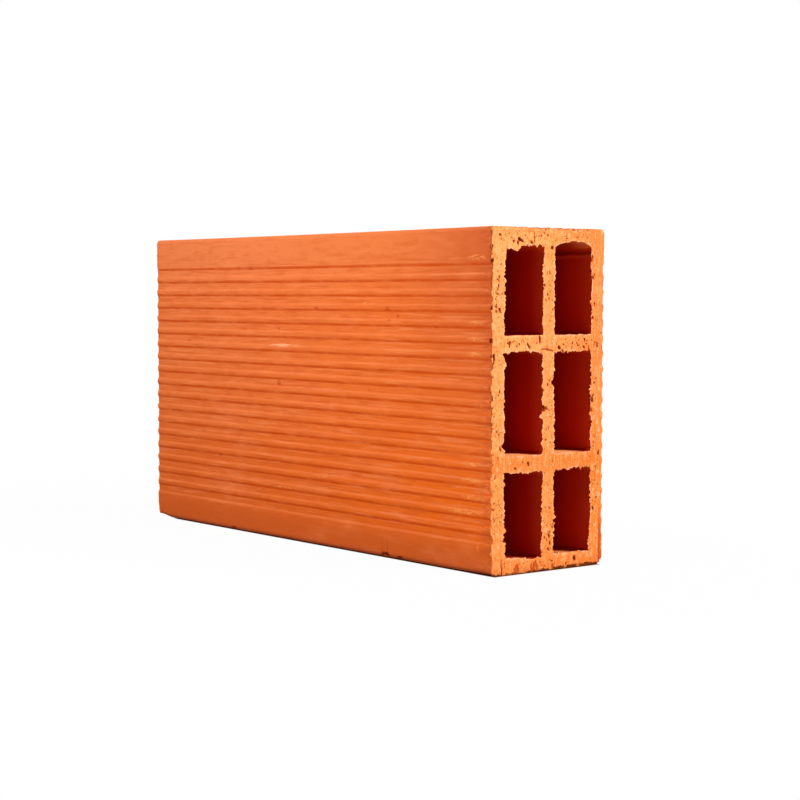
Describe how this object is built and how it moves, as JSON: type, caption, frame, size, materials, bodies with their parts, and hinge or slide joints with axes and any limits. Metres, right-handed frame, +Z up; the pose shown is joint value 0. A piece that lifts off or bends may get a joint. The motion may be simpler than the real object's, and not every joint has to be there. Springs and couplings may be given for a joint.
{
  "type": "hollow clay brick",
  "caption": "Extruded hollow clay brick with rectangular cells running through its length and combed long faces, for partition walls.",
  "frame": {"origin": "centre of the narrow long face that the brick stands on", "axes": "+X along the length and the cells, +Y across the width, +Z up"},
  "size_m": [0.33, 0.08, 0.18],
  "materials": {
    "fired_clay": "matt fired terracotta, wire-cut ends"
  },
  "bodies": {
    "root": {"clay_brick": "fired_clay"}
  },
  "joints": []
}
